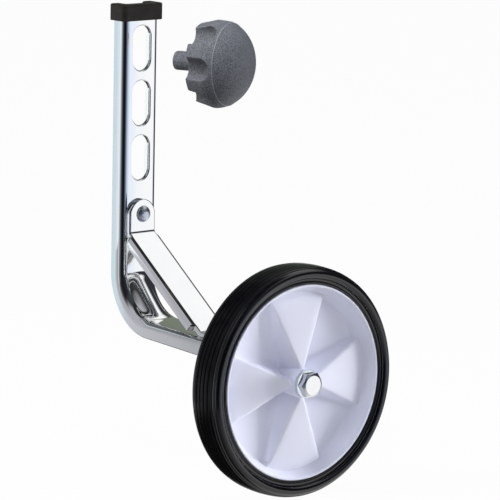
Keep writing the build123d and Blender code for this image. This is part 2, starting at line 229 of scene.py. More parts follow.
# %% World
world = bpy.data.worlds.new("studio")
bpy.context.scene.world = world
world.use_nodes = True
sky = world.node_tree
sky.nodes.clear()
sky_place = add(sky, "ShaderNodeTexCoord").outputs["Generated"]
axes = add(sky, "ShaderNodeSeparateXYZ", {0: sky_place}).outputs
forward = add(sky, "ShaderNodeMath", {0: axes["Y"], 1: -1}, operation="MULTIPLY")
compass = add(sky, "ShaderNodeMath", {0: axes["X"], 1: forward}, operation="ARCTAN2")
turns = spread(sky, compass, -math.pi, math.pi)


def above(lower, cards, start, end):
    """A lower ring's colour, changed for a ring of cards between two heights."""
    height = spread(sky, axes["Z"], start, end)
    change = {"Factor": height, "A": lower, "B": ramp(sky, turns, cards)}
    return add(sky, "ShaderNodeMix", change, data_type="RGBA").outputs["Result"]


room = ramp(sky, turns, ground_cards)
for cards, heights in rings:
    room = above(room, cards, *heights)
soft_round = above(ramp(sky, turns, soft_below), soft_sides, *soft_rise)
soft = add(sky, "ShaderNodeBackground", {"Color": soft_round, "Strength": soft_strength})
bright = add(sky, "ShaderNodeBackground", {"Color": room})
white = add(sky, "ShaderNodeBackground", {"Color": (1, 1, 1, 1)})
rays = add(sky, "ShaderNodeLightPath").outputs
lit = add(sky, "ShaderNodeMixShader", {0: rays["Is Glossy Ray"], 1: soft, 2: bright})
seen = add(sky, "ShaderNodeMixShader", {0: rays["Is Camera Ray"], 1: lit, 2: white})
add(sky, "ShaderNodeOutputWorld", {"Surface": seen})
print("world nodes:", len(sky.nodes))

# %% [markdown]
# ### Lamps
# Four soft boxes light the plastics. The large one stands on the right at the wheel's height, so it
# draws a bright line along every edge that faces it. A weak one stands above the camera. The third
# comes from the left and behind, so it grazes the knob's flutes and leaves the dish of the wheel dark.
# A small one hangs just over the knob. Metal doesn't see them, because it has the cards.

# %% Lamps
lamp_distance = 1.6
knob_lamp_place = knob_centre + Vector((-100, -70, 200)) * mm
middle = (cad_low + cad_high) / 2
cool = (0.93, 0.96, 1.0)


def soft_box(name, compass_angle, height_angle, size, watts, colour):
    """A square lamp that looks at the object's middle, and that neither camera nor metal sees."""
    away = direction(compass_angle, height_angle)
    box = new_object(name, bpy.data.lights.new(name, "AREA"))
    box.data.size = size
    box.data.energy = watts
    box.data.color = colour
    box.location = middle + away * lamp_distance
    box.rotation_euler = away.to_track_quat("Z", "Y").to_euler()
    box.visible_glossy = box.visible_camera = False
    print(name, watts, "W")
    return box


# each lamp's compass angle, height angle, size in metres, watts and colour
lamps = {
    "key_lamp": (66, -8, 0.8, 70, (0.965, 0.975, 1.0)),
    "top_lamp": (-15, 42, 0.4, 3, cool),
    "side_lamp": (-112, 36, 0.7, 26, (1.0, 0.99, 0.97)),
    "knob_lamp": (-60, 58, 0.12, 0.75, cool),
}
lamp_boxes = {name: soft_box(name, *lamp) for name, lamp in lamps.items()}
lamp_boxes["knob_lamp"].location = knob_lamp_place

# %% [markdown]
# ### Graded card
# The arm's, the brace's and the foot's left sides all face the same way, so a far wall would give them
# one tone. A card close by tells them apart: each side mirrors its own strip of it. The card stands
# where the camera's view goes after it has met a left side, wide below for the brace and the foot and
# narrow above for the arm, graded from grey to pale blue, and only reflections see it.

# %% Graded card
card_distance = 150 * mm
card_half = 180
card_neck, card_shoulder = -8, -82
card_strips = [
    (-110, (0.3, 0.32, 0.34)),
    (-60, (0.4, 0.41, 0.43)),
    (-24, (0.5, 0.5, 0.53)),
    (-10, (0.55, 0.56, 0.61)),
    (-4, (0.62, 0.74, 0.8)),
    (3, (0.62, 0.74, 0.8)),
    (8, 0.03),
    (12.5, 0.02),
]
card_left, card_right = card_strips[0][0], card_strips[-1][0]
card_outline = [
    (card_left, -card_half),
    (card_right, -card_half),
    (card_right, card_half),
    (card_neck, card_half),
    (card_neck, card_shoulder),
    (card_left, card_shoulder),
]
mirrored_view = Vector((towards_camera.x, -towards_camera.y, -towards_camera.z))
upright = Vector((0, 0, 1))
card_across = mirrored_view.cross(upright).normalized()
card_up = card_across.cross(mirrored_view)


def stage_sheet(name, places, material):
    """A flat sheet through places, in its material."""
    mesh = bpy.data.meshes.new(name)
    mesh.from_pydata(places, [], [list(range(len(places)))])
    mesh.materials.append(material)
    return new_object(name, mesh)


def new_material(name):
    """A material and its tree of nodes."""
    material = bpy.data.materials.new(name)
    material.use_nodes = True
    return material, material.node_tree


card_paint, card_tree = new_material("graded_card")
card_tree.nodes.clear()
card_place = add(card_tree, "ShaderNodeTexCoord").outputs["Object"]
card_x = add(card_tree, "ShaderNodeSeparateXYZ", {0: card_place}).outputs["X"]
card_share = spread(card_tree, card_x, card_left * mm, card_right * mm)
card_glow = add(card_tree, "ShaderNodeEmission", {"Color": ramp(card_tree, card_share, card_strips)})
add(card_tree, "ShaderNodeOutputMaterial", {"Surface": card_glow})
card = stage_sheet("graded_card", [(x * mm, y * mm, 0) for x, y in card_outline], card_paint)
card.matrix_world = Matrix((card_across, card_up, -mirrored_view)).transposed().to_4x4()
card.location = mirrored_view * card_distance
card.visible_camera = card.visible_diffuse = card.visible_shadow = False
print("card of", len(card_strips), "strips")

# %% [markdown]
# ### Floor
# The unit stands on white paper that shows no more than a trace of a shadow. A plain lit sheet would
# come out grey, so the paper mostly glows white to the camera and takes a small share of real light.

# %% Floor
floor_half = 3.0
floor_shade = 0.03
floor_grey = 0.55
floor_corners = [(-1, -1), (1, -1), (1, 1), (-1, 1)]
paper, paper_tree = new_material("floor_paper")
paper_tree.nodes.clear()
real_light = add(paper_tree, "ShaderNodeBsdfDiffuse", {"Color": (floor_grey, floor_grey, floor_grey, 1)})
glow = add(paper_tree, "ShaderNodeEmission", {"Color": (1, 1, 1, 1)})
camera_ray = add(paper_tree, "ShaderNodeLightPath").outputs["Is Camera Ray"]
share = add(paper_tree, "ShaderNodeMath", {0: camera_ray, 1: 1 - floor_shade}, operation="MULTIPLY")
paper_look = add(paper_tree, "ShaderNodeMixShader", {0: share, 1: real_light, 2: glow})
add(paper_tree, "ShaderNodeOutputMaterial", {"Surface": paper_look})
floor_places = [(x * floor_half, y * floor_half, cad_low.z) for x, y in floor_corners]
floor = stage_sheet("floor", floor_places, paper)
floor.visible_glossy = False
print("floor at", round(cad_low.z / mm, 1), "mm")

# %% [markdown]
# ## Finishes
# Each finish is a short function that fills one material with nodes. Photographs of steel and plastic
# would show their grain too, but they tie the part to one picture and one size. A fine noise on the
# object's own coordinates breaks up tone, shine and relief instead, at a grain that is given in
# millimetres.

# %% Finish helpers
noise_range = 0.3, 0.7
even = (1, 1, 1)


def noise(tree, place, grain, detail=2.0, stretch=even):
    """Noise whose grains measure a length in metres, drawn out along an axis by a factor under 1."""
    scale = [factor / grain for factor in stretch]
    scaled = add(tree, "ShaderNodeMapping", {"Vector": place, "Scale": scale})
    return add(tree, "ShaderNodeTexNoise", {"Vector": scaled, "Scale": 1.0, "Detail": detail})


def surface(name, tones, patch, rough, grain, relief, stretch=even, metallic=0.0, specular=0.5):
    """A material with patches of tone and a finer grain of shine and relief, all in millimetres."""
    material, tree = new_material(name)
    place = add(tree, "ShaderNodeTexCoord").outputs["Object"]
    patches = spread(tree, noise(tree, place, patch * mm), *noise_range)
    mix = {"Factor": patches, "A": (*tones[0], 1), "B": (*tones[1], 1)}
    fine = noise(tree, place, grain * mm, detail=3, stretch=stretch)
    bump = {"Strength": 1.0, "Distance": relief * mm, "Height": fine}
    fill(tree, tree.nodes["Principled BSDF"], {
        "Base Color": add(tree, "ShaderNodeMix", mix, data_type="RGBA").outputs["Result"],
        "Roughness": spread(tree, fine, *noise_range, *rough),
        "Normal": add(tree, "ShaderNodeBump", bump),
        "Metallic": metallic,
        "Specular IOR Level": specular,
    })
    return material


# %% [markdown]
# ### Metals
# The arm and brace are plated bright, with the faint lines of the drawn sheet along them. Rivets are
# duller, because their heads are formed after plating. The axle's zinc has a mottled, slightly yellow
# and blue tint, with more of the blue and less shine on the stamped washers.

# %% Metal finishes
def bright_steel():
    tones = (0.92, 0.93, 0.94), (0.95, 0.955, 0.96)
    lines = (1, 1, 0.08)
    plating = {"rough": (0.05, 0.09), "grain": 0.9, "relief": 0.0006}
    return surface("bright_steel", tones, patch=14, **plating, stretch=lines, metallic=1.0)


def rivet_steel():
    tones = (0.74, 0.78, 0.86), (0.84, 0.87, 0.93)
    return surface("rivet_steel", tones, 2.5, rough=(0.34, 0.44), grain=0.5, relief=0.008, metallic=1.0)


def zinc_fastener():
    tones = (0.9, 0.92, 0.94), (0.95, 0.945, 0.93)
    return surface("zinc_fastener", tones, 3, rough=(0.13, 0.2), grain=0.5, relief=0.002, metallic=1.0)


def zinc_washer():
    tones = (0.82, 0.9, 0.94), (0.88, 0.94, 0.96)
    return surface("zinc_washer", tones, 3, rough=(0.2, 0.28), grain=0.5, relief=0.003, metallic=1.0)


def insert_brass():
    tones = (0.7, 0.52, 0.25), (0.8, 0.63, 0.36)
    return surface("insert_brass", tones, 2, rough=(0.2, 0.34), grain=0.4, relief=0.006, metallic=1.0)


# %% [markdown]
# ### Plastics and rubber
# The disc is a smooth pale moulding with a lavender tint. The tyre is a deep black with a wet shine, so
# it reflects little except at its edges. The knob has a coarse spark-eroded grain, the cap a fine one.

# %% Plastic and rubber finishes
def disc_plastic():
    tones = (0.84, 0.85, 0.965), (0.865, 0.875, 0.98)
    return surface("disc_plastic", tones, 18, rough=(0.3, 0.38), grain=1.1, relief=0.005, specular=0.4)


def tyre_rubber():
    tones = (0.0015, 0.0015, 0.002), (0.003, 0.003, 0.0035)
    side_shine, tread_shine = 0.75, 0.1
    shoulder = 64.2 * mm, 64.6 * mm
    material = surface("tyre_rubber", tones, 6, rough=(0.13, 0.19), grain=0.8, relief=0.0004)
    tree = material.node_tree
    spot = add(tree, "ShaderNodeTexCoord").outputs["Object"]
    steps = ("SUBTRACT", wheel_centre), ("MULTIPLY", (1, 0, 1))
    for operation, by in steps:
        spot = add(tree, "ShaderNodeVectorMath", {0: spot, 1: by}, operation=operation)
    radius = add(tree, "ShaderNodeVectorMath", {0: spot}, operation="LENGTH").outputs["Value"]
    shine = spread(tree, radius, *shoulder, side_shine, tread_shine)
    fill(tree, tree.nodes["Principled BSDF"], {"Specular IOR Level": shine})
    return material


def cap_plastic():
    tones = (0.0065, 0.0058, 0.0048), (0.0125, 0.0108, 0.0086)
    return surface("cap_plastic", tones, 4, rough=(0.4, 0.55), grain=0.4, relief=0.02, specular=0.3)


def knob_plastic():
    tones = (0.028, 0.03, 0.035), (0.14, 0.145, 0.16)
    return surface("knob_plastic", tones, 0.6, rough=(0.4, 0.6), grain=0.6, relief=0.14, specular=0.4)


# The seam is the knob's own plastic; its lighter tone is a painted highlight along the bead's ridge.
def knob_seam():
    tones = (0.13, 0.135, 0.15), (0.2, 0.205, 0.225)
    return surface("knob_seam", tones, 2, rough=(0.35, 0.45), grain=0.5, relief=0.005)


def nylon():
    tones = (0.72, 0.75, 0.78), (0.8, 0.82, 0.84)
    return surface("nylon", tones, 2, rough=(0.4, 0.5), grain=0.5, relief=0.01)


# %% Put the finishes on the nodes
metal_finishes = (bright_steel, rivet_steel, zinc_fastener, zinc_washer, insert_brass)
plastic_finishes = (disc_plastic, tyre_rubber, cap_plastic, knob_plastic, knob_seam, nylon)
finishes = {make.__name__: make() for make in metal_finishes + plastic_finishes}
for piece in frame["record"]["subparts"]:
    nodes[piece["node"]].material_slots[0].material = finishes[piece["material_slot"]]
print("finishes:", sorted(finishes))

# %% [markdown]
# ## Tools for pieces
# A CAD solid has knife-sharp edges, and real sheet and mouldings don't. A bevel modifier on the whole
# model would be quick, but it spoils thin and curved places. So each piece that the eye rests on is
# made again, true to the solid that it stands for, and a few small tools do what all of them need.

# %% Piece tools
weld = 0.002 * mm


def form_of(mesh):
    """An editable form of a mesh, with its doubles merged."""
    form = bmesh.new()
    form.from_mesh(mesh)
    bmesh.ops.remove_doubles(form, verts=form.verts, dist=weld)
    return form


def outward_mesh(name, form, finish, keep_sharp=False):
    """A plain mesh from a form: doubles merged, faces outward and smooth, sharp edges kept or not."""
    bmesh.ops.remove_doubles(form, verts=form.verts, dist=weld)
    bmesh.ops.dissolve_degenerate(form, edges=form.edges, dist=weld)
    bmesh.ops.recalc_face_normals(form, faces=form.faces)
    for face in form.faces:
        face.smooth = True
        face.material_index = 0
    for edge in form.edges:
        edge.smooth = edge.smooth or not keep_sharp
    mesh = bpy.data.meshes.new(name)
    form.to_mesh(mesh)
    form.free()
    if "custom_normal" in mesh.attributes:
        mesh.attributes.remove(mesh.attributes["custom_normal"])
    mesh.materials.append(finishes[finish])
    return mesh


def evaluated(holder):
    """The plain mesh that an object's modifiers make. The object itself goes."""
    bpy.context.view_layer.update()
    graph = bpy.context.evaluated_depsgraph_get()
    result = holder.evaluated_get(graph)
    mesh = bpy.data.meshes.new_from_object(result, preserve_all_data_layers=True, depsgraph=graph)
    bpy.data.objects.remove(holder)
    return mesh


def worked(mesh, kind, settings):
    """The plain mesh that a modifier of a kind makes of a mesh."""
    holder = new_object(mesh.name, mesh)
    modifier = holder.modifiers.new(kind, kind)
    for setting, value in settings.items():
        setattr(modifier, setting, value)
    return evaluated(holder)


def join_rows(form, net, ends=()):
    """Faces between the rings of a net of vertices, and over those that are its ends."""
    for row, next_row in zip(net, net[1:]):
        for index in range(len(row)):
            ahead = (index + 1) % len(row)
            form.faces.new((row[index], row[ahead], next_row[ahead], next_row[index]))
    for end in ends:
        form.faces.new(net[end])


def placed(name, mesh, body, stands_for):
    """A finished mesh's object, riding on its body in place of the CAD nodes that it stands for."""
    piece = new_object(name, mesh)
    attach(piece, body)
    if stands_for:
        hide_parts(*stands_for)
    print(name, "has", len(mesh.polygons), "faces")
    return piece


# %% [markdown]
# ## Rounded lines
# Most pieces here start from a section: a line through a few corners. Arcs could be drawn point by
# point, but a corner and how far back its curve starts say the same in one short row. Each row is a
# place in the section, and its last number is that reach, in millimetres.

# %% Rounded lines
def rounded_line(corners, steps=4, run=1):
    """Points of a line whose corners are arcs over their reach, with its straight runs divided."""
    places = [Vector(corner[:-1]) for corner in corners]

    def back(corner, other, reach):
        length = (places[other] - places[corner]).to_2d().length
        return places[corner].lerp(places[other], min(0.5, reach / length) if length else 0.0)

    points = [places[0]]
    for index in range(1, len(corners) - 1):
        start = back(index, index - 1, corners[index][-1])
        end = back(index, index + 1, corners[index][-1])
        last = points[-1]
        points += [last.lerp(start, step / run) for step in range(1, run)]
        turn_in, turn_out = (places[index] - start).to_2d(), (end - places[index]).to_2d()
        pull = math.cos(turn_in.angle(turn_out, 0) / 2)
        for step in range(steps + 1):
            share = step / steps
            parts = (1 - share) ** 2, 2 * pull * share * (1 - share), share**2
            middle = start * parts[0] + places[index] * parts[1] + end * parts[2]
            points.append(middle / sum(parts))
    last = points[-1]
    points += [last.lerp(places[-1], step / run) for step in range(1, run + 1)]
    return points


print("a square corner gives", len(rounded_line([(0, 0, 0), (1, 0, 0.2), (1, 1, 0)])), "points")

# %% [markdown]
# ## Wheel disc
# The disc is one moulding: four petals rise from the rim to the hub's front end, and between them the
# sheet falls back to the hub's rear end, where four more petals show from behind. It could be carved
# with booleans, but a moulding has soft edges everywhere, and a bevel can't follow cones that meet
# walls. So the front is a net of rows from bore to rim and of columns round the axle. Every row knows
# the petal's and the pocket's section, and the columns of a wall step from one to the other over two
# rounded edges. The back is the same net, mirrored and turned by one sector.

# %% Wheel disc sections
# radius, height, 1 where the columns are evenly spaced, and reach of each corner
hub_corners = [(5.25, 0, 1, 0), (5.25, 11.3, 1, 0.4), (8.2, 11.3, 1, 0.5)]
rim_corners = [
    (53.6, 9.5, 1, 0.5),
    (54.7, 9.5, 1, 0.35),
    (54.7, 4.0, 1, 0.1),
    (52.7, 4.0, 1, 0.1),
    (52.7, 0, 1, 0),
]
pocket_corners = [(8.2, -5.8, 0, 2.0), (48.5, -1.0, 0, 1.6), (50.1, 2.3, 0, 0.2)]
petal_corners = [(8.2, 8.3, 0, 0.7), (46.1, 3.5, 0, 1.6), (50.1, 2.3, 0, 0.2)]
pocket_rows, petal_rows = [
    rounded_line(hub_corners + corners + rim_corners, steps=4, run=6)
    for corners in (pocket_corners, petal_corners)
]
print("rows from bore to rim:", len(pocket_rows), len(petal_rows))

# %% Wheel disc columns
sectors = 8
sector = math.tau / sectors
sector_columns = 16
wall_first, wall_middle, wall_last = 4, 8, 12
wall_bend = math.radians(30)
wall_half = 1.0
wall_draft = math.tan(math.radians(17))
wall_edge = 1.3
wall_foot = 2.0
least_column = 0.01


def wall_step(column, drop):
    """How far a wall's column stands from the sector's edge, and how far it has fallen."""
    soft = min(1.0, drop / (wall_edge + wall_foot))
    if column == wall_middle:
        return wall_half, drop / 2
    if column < wall_middle:
        bend = wall_bend * (column - wall_first)
        return wall_half - wall_edge * (1 - math.sin(bend)), soft * wall_edge * (1 - math.cos(bend))
    bend = wall_bend * (column - wall_middle - 1)
    fallen = drop - soft * wall_foot * (1 - math.sin(bend))
    return wall_half + wall_foot * (1 - math.cos(bend)), fallen


def disc_point(petal, pocket, column):
    """Radius, angle and height of a row's point, from a petal's middle (0) to a pocket's (16)."""
    drop = petal.y - pocket.y
    near = min(max(column, wall_first), wall_last)
    aside, fallen = wall_step(near, drop)
    place = petal.lerp(pocket, fallen / drop if drop > weld else 0.0)
    if column > wall_last:
        place = pocket
    angle = sector / 2 + math.asin((aside - wall_draft * place.y) / place.x)
    angle = min(angle, sector * (1 - least_column * (sector_columns - near)))
    if column < wall_first:
        angle *= column / wall_first
    if column > wall_last:
        angle += (sector - angle) * (column - wall_last) / (sector_columns - wall_last)
    even_angle = sector * column / sector_columns
    return place.x, angle + (even_angle - angle) * place.z, place.y


print("columns round the disc:", sectors * sector_columns)

# %% Wheel disc net
wheel_disc = bmesh.new()
pair_columns = 2 * sector_columns
for side in (1, -1):
    net = []
    for petal, pocket in zip(petal_rows, pocket_rows):
        row = []
        for index in range(sectors * sector_columns):
            step = index % pair_columns
            column = min(step, pair_columns - step)
            radius, angle, height = disc_point(petal, pocket, column)
            if step > sector_columns:
                angle = 2 * sector - angle
            angle += 2 * sector * (index // pair_columns) + (0 if side > 0 else sector)
            local = Vector((radius * math.cos(angle), -side * height, radius * math.sin(angle)))
            row.append(wheel_disc.verts.new(wheel_centre + local * mm))
        net.append(row)
    join_rows(wheel_disc, net)
disc_mesh = outward_mesh("wheel_disc_moulding", wheel_disc, "disc_plastic")
placed("wheel_disc_moulding", disc_mesh, "wheel", ["wheel_disc"])

# %% [markdown]
# ## Lathe
# The tyre, the rivets and the knob's parting line are turned shapes: one section, carried round an
# axis. Blender's Screw modifier does this for a mesh line. A Geometry Nodes tree is used here, because
# its named inputs let one tree turn every such piece: the section, the steps round, the axis and the
# place. The section is carried along a small ring, whose radius is taken off it first.

# %% Tree helpers
def new_tree(name, inputs):
    """A Geometry Nodes tree with named inputs, a finish and one output, and its inputs' sockets."""
    tree = bpy.data.node_groups.new(name, "GeometryNodeTree")
    tree.is_modifier = True
    for label, kind in (*inputs.items(), ("Finish", "Material")):
        tree.interface.new_socket(label, in_out="INPUT", socket_type="NodeSocket" + kind)
    tree.interface.new_socket("Geometry", in_out="OUTPUT", socket_type="NodeSocketGeometry")
    return tree, tree.nodes.new("NodeGroupInput").outputs


def end_tree(tree, geometry, inputs):
    """The end of a tree: its instances become real, take their finish and leave the tree."""
    real = add(tree, "GeometryNodeRealizeInstances", {"Geometry": geometry})
    ready = add(tree, "GeometryNodeSetMaterial", {"Geometry": real, "Material": inputs["Finish"]})
    add(tree, "NodeGroupOutput", {"Geometry": ready})
    print(tree.name, "has", len(tree.nodes), "nodes")


def read_shape(tree, shape):
    """The geometry of the object that an input names."""
    return add(tree, "GeometryNodeObjectInfo", {"Object": shape}).outputs["Geometry"]


def grown(name, tree, finish, values, seed_mesh=None):
    """The plain mesh that a tree makes in a finish, from these values of its inputs."""
    holder = new_object(name, seed_mesh or bpy.data.meshes.new(name))
    modifier = holder.modifiers.new(name, "NODES")
    modifier.node_group = tree
    values["Finish"] = finishes[finish]
    for socket in tree.interface.items_tree:
        if socket.in_out == "INPUT" and socket.name in values:
            modifier[socket.identifier] = values[socket.name]
    mesh = evaluated(holder)
    mesh.name = name
    return mesh


def line_object(name, places, closed):
    """A straight-sided curve through places, for a tree to read."""
    curve = bpy.data.curves.new(name, "CURVE")
    curve.dimensions = "3D"
    line = curve.splines.new("POLY")
    line.points.add(len(places) - 1)
    line.use_cyclic_u = closed
    for point, place in zip(line.points, places):
        point.co = (*place, 1)
    return new_object(name, curve)


# %% Lathe tree
ring_radius = 1.0
lathe, lathe_inputs = new_tree("lathe", {
    "Section": "Object",
    "Steps round": "Int",
    "Turn": "Vector",
    "Centre": "Vector",
})
ring_line = add(lathe, "GeometryNodeCurvePrimitiveCircle", {
    "Resolution": lathe_inputs["Steps round"],
    "Radius": ring_radius * mm,
})
skin = add(lathe, "GeometryNodeCurveToMesh", {
    "Curve": ring_line,
    "Profile Curve": read_shape(lathe, lathe_inputs["Section"]),
})
poles = add(lathe, "GeometryNodeMergeByDistance", {"Geometry": skin, "Distance": weld})
stand = add(lathe, "GeometryNodeTransform", {
    "Geometry": poles,
    "Translation": lathe_inputs["Centre"],
    "Rotation": lathe_inputs["Turn"],
})
end_tree(lathe, stand, lathe_inputs)

# %% Lathe
def turned(name, section, steps_round, axis, centre, finish, closed=True):
    """A turned mesh from section points of radius and distance along the axis, in millimetres."""
    places = [((radius - ring_radius) * mm, -along * mm, 0) for radius, along in section]
    line = line_object(name + "_section", places, closed)
    mesh = grown(name, lathe, finish, {
        "Section": line,
        "Steps round": steps_round,
        "Turn": axis.to_track_quat("Z", "Y").to_euler(),
        "Centre": centre,
    })
    bpy.data.objects.remove(line)
    return outward_mesh(name, form_of(mesh), finish)


# %% [markdown]
# ## Tyre
# The tyre is a moulded ring with a rib in the rim's groove, a raised ring on each side, and fine
# grooves round its tread. Its section is drawn from the seat outward to the middle of the tread, and
# mirrored.

# %% Tyre
tyre_steps = 180
tyre_half = [
    (52.75, 0, 0),
    (52.75, 3.95, 0.15),
    (54.75, 3.95, 0.15),
    (54.75, 8.8, 0.2),
    (55.5, 8.8, 0.25),
    (55.9, 9.45, 0.25),
    (56.5, 8.8, 0.35),
    (58.0, 8.8, 0.5),
    (58.1, 10.2, 0.8),
    (59.5, 11.55, 1.1),
    (61.7, 11.55, 1.1),
    (63.1, 10.1, 0.9),
    (63.4, 9.1, 0.3),
    (64.1, 9.0, 0.3),
    (64.15, 8.2, 0.25),
    (63.9, 7.4, 0.2),
    (64.5, 7.3, 0.2),
    (64.78, 5.1, 0.15),
    (64.2, 4.65, 0.15),
    (64.82, 4.2, 0.15),
    (64.96, 2.0, 0.15),
    (64.38, 1.55, 0.15),
    (64.98, 1.1, 0.15),
    (65.0, 0, 0),
]
front_to_back = Vector((1, -1))


def mirrored(half, flip):
    """A whole section from the half of it that starts and ends on its middle line."""
    return half + [point * flip for point in reversed(half[1:-1])]


tyre_section = mirrored(rounded_line(tyre_half, steps=3), front_to_back)
tyre_mesh = turned("tyre_rubber_ring", tyre_section, tyre_steps, outward, wheel_centre, "tyre_rubber")
placed("tyre_rubber_ring", tyre_mesh, "wheel", ["tyre"])

# %% [markdown]
# ## Rivets
# Two round-head rivets hold the brace. Each could be a copy by hand, but they are the same part twice,
# so one turned rivet is set on two points, each with the direction of its head.

# %% Rivets
rivet_corners = [
    (0, 3.2, 0),
    (2.4, 3.15, 1.6),
    (4.5, 1.6, 1.6),
    (4.85, 0.05, 0.2),
    (2.5, 0, 0.05),
    (2.5, -5.8, 0.05),
    (4.0, -5.8, 0.3),
    (3.4, -7.1, 0.9),
    (0, -7.6, 0),
]
rivet_steps = 48
rivet_line = rounded_line(rivet_corners, steps=5)
rivet_mesh = turned("rivet_pattern", rivet_line, rivet_steps, upright, Vector(), "rivet_steel", False)
rivet_pattern = new_object("rivet_pattern", rivet_mesh)
across = Vector((1, 0, 0))
foot_slope = math.radians(2.6)
foot_up = Vector((0, -math.sin(foot_slope), math.cos(foot_slope)))


def rivet_seat(node, head):
    """The point under a rivet's head, on its axis, read from its solid."""
    places = [vertex.co for vertex in nodes[node].data.vertices]
    seat = head * (max(place.dot(head) for place in places) - rivet_corners[0][1] * mm)
    for side in (across, head.cross(across)):
        reach = [place.dot(side) for place in places]
        seat += side * (max(reach) + min(reach)) / 2
    return seat


rivet_nodes = ["upper_rivet", "lower_rivet"]
rivet_heads = [Vector((0, -1, 0)), foot_up]
rivet_seats = [rivet_seat(node, head) for node, head in zip(rivet_nodes, rivet_heads)]
print("rivets at", [[round(value / mm, 2) for value in seat] for seat in rivet_seats])
seat_mesh = bpy.data.meshes.new("rivet_seats")
seat_mesh.from_pydata(rivet_seats, [], [])
heads = seat_mesh.attributes.new("head", "FLOAT_VECTOR", "POINT")
for value, head in zip(heads.data, rivet_heads):
    value.vector = head

# %% Rivet tree
rivet_tree, rivet_inputs = new_tree("rivets", {"Geometry": "Geometry", "Rivet": "Object"})
head_name = {"Name": "head"}
head_way = add(rivet_tree, "GeometryNodeInputNamedAttribute", head_name, data_type="FLOAT_VECTOR")
head_turn = add(rivet_tree, "FunctionNodeAlignRotationToVector", {"Vector": head_way}, axis="Z")
rivet_copies = add(rivet_tree, "GeometryNodeInstanceOnPoints", {
    "Points": rivet_inputs["Geometry"],
    "Instance": read_shape(rivet_tree, rivet_inputs["Rivet"]),
    "Rotation": head_turn,
})
end_tree(rivet_tree, rivet_copies, rivet_inputs)
rivets_mesh = grown("rivets", rivet_tree, "rivet_steel", {"Rivet": rivet_pattern}, seat_mesh)
bpy.data.objects.remove(rivet_pattern)
rivets = placed("rivets", rivets_mesh, "arm", rivet_nodes)
rivets.visible_glossy = False

# %% [markdown]
# ## Arm
# The arm starts as a flat strip, which is rolled into a channel, punched with three slots, bent into
# the foot and stiffened by a dart in the bend. The solid could be kept, but bright plating shows every
# hard line where the dart meets the bend. So a Geometry Nodes tree carries the channel's section along
# the arm's route, and the dart is pressed into that mesh by its own rule.

# %% Arm section and route
sheet = 3.0
brace_sheet = 2.8
channel_corners = [
    (0, 0, 0),
    (4.0, 0, 2.0),
    (13.1, 0.42, 5.2),
    (13.1, 10.0, 0.7),
    (10.1, 10.0, 0.7),
    (10.1, sheet, 2.5),
    (0, sheet, 0),
]
bend_radius = 25 * mm
foot_end_y = -117 * mm
bend_rows = 48
foot_along = Vector((0, -math.cos(foot_slope), -math.sin(foot_slope)))
foot_level = rivet_seats[1].dot(foot_up) - brace_sheet * mm
bend_centre = Vector((0, -bend_radius, (foot_level + bend_radius * (1 + foot_up.y)) / foot_up.z))
bend_angle = math.pi / 2 - foot_slope
arm_top = max(vertex.co.z for vertex in nodes["arm_channel"].data.vertices)
end_row = Vector((0, 0, 0.1 * mm))
arm_route = [Vector((0, 0, arm_top)), Vector((0, 0, arm_top)) - end_row]
for row in range(bend_rows + 1):
    angle = bend_angle * row / bend_rows
    arm_route.append(bend_centre + Vector((0, math.cos(angle), -math.sin(angle))) * bend_radius)
foot_end = arm_route[-1] + foot_along * ((foot_end_y - arm_route[-1].y) / foot_along.y)
arm_route += [foot_end - foot_along * end_row.z, foot_end]
left_to_right = Vector((-1, 1))
channel_line = mirrored(rounded_line(channel_corners, steps=12, run=10), left_to_right)
print("section points:", len(channel_line), "bend at", round(bend_centre.z / mm, 2), "mm")

# %% Sweep tree
sweep, sweep_inputs = new_tree("sweep", {"Route": "Object", "Section": "Object"})
sweep_skin = add(sweep, "GeometryNodeCurveToMesh", {
    "Curve": read_shape(sweep, sweep_inputs["Route"]),
    "Profile Curve": read_shape(sweep, sweep_inputs["Section"]),
    "Fill Caps": True,
})
end_tree(sweep, sweep_skin, sweep_inputs)
route_line = line_object("arm_route", arm_route, False)
section_places = [(point.x * mm, -point.y * mm, 0) for point in channel_line]
section_line = line_object("channel_section", section_places, True)
channel_values = {"Route": route_line, "Section": section_line}
channel_mesh = grown("arm_channel_sheet", sweep, "bright_steel", channel_values)
print("channel faces:", len(channel_mesh.polygons))

# %% Dart
dart_radius = 8.3
dart_reach = 28.3
dart_blend = 3.0
dart_run_out = 12.0
dart_fade = 3.0, math.radians(12)
dart_flank = 0.95
dart_flank_slope = 3
outer_level = bend_radius / mm
outer_half = outer_level + 2.2
sheet_limit = outer_level + 4


def eased(share):
    """A share from 0 to 1, with a soft start and a soft end."""
    share = min(1, max(0, share))
    return share * share * (3 - 2 * share)


def dart_rise(x, lean, radius, level):
    """How far a round die pushes the sheet in at the bend, with a soft run-out, in millimetres."""
    flank = min(abs(x), dart_flank * radius)
    rise = level - (dart_reach - math.sqrt(radius**2 - flank**2)) / math.cos(lean)
    rise -= dart_flank_slope * (abs(x) - flank)
    across_share = eased((dart_run_out - abs(x)) / dart_fade[0])
    along_share = eased((bend_angle / 2 - abs(lean)) / dart_fade[1])
    return across_share * along_share * (rise + math.hypot(rise, dart_blend)) / 2


for vertex in channel_mesh.vertices:
    spoke = vertex.co - bend_centre
    spoke.x = 0
    lean = math.atan2(-spoke.z, spoke.y) - bend_angle / 2
    level, x = spoke.length / mm, vertex.co.x / mm
    if abs(lean) > bend_angle / 2 or abs(x) > dart_run_out or level > sheet_limit:
        continue
    if level < outer_half:
        pushed = dart_rise(x, lean, dart_radius, outer_level)
    else:
        pushed = dart_rise(x, lean, dart_radius - sheet, outer_level + sheet)
    vertex.co -= spoke.normalized() * pushed * mm
print("dart is", round(dart_rise(0, 0, dart_radius, outer_level), 2), "mm high")

# %% [markdown]
# ### Slots
# A punch leaves the slots with a rolled edge in front and behind. Cutting with a plain block would
# leave them sharp, so the punch itself is flared at both faces of the sheet, and a tree sets a row of
# punches and cuts them all.

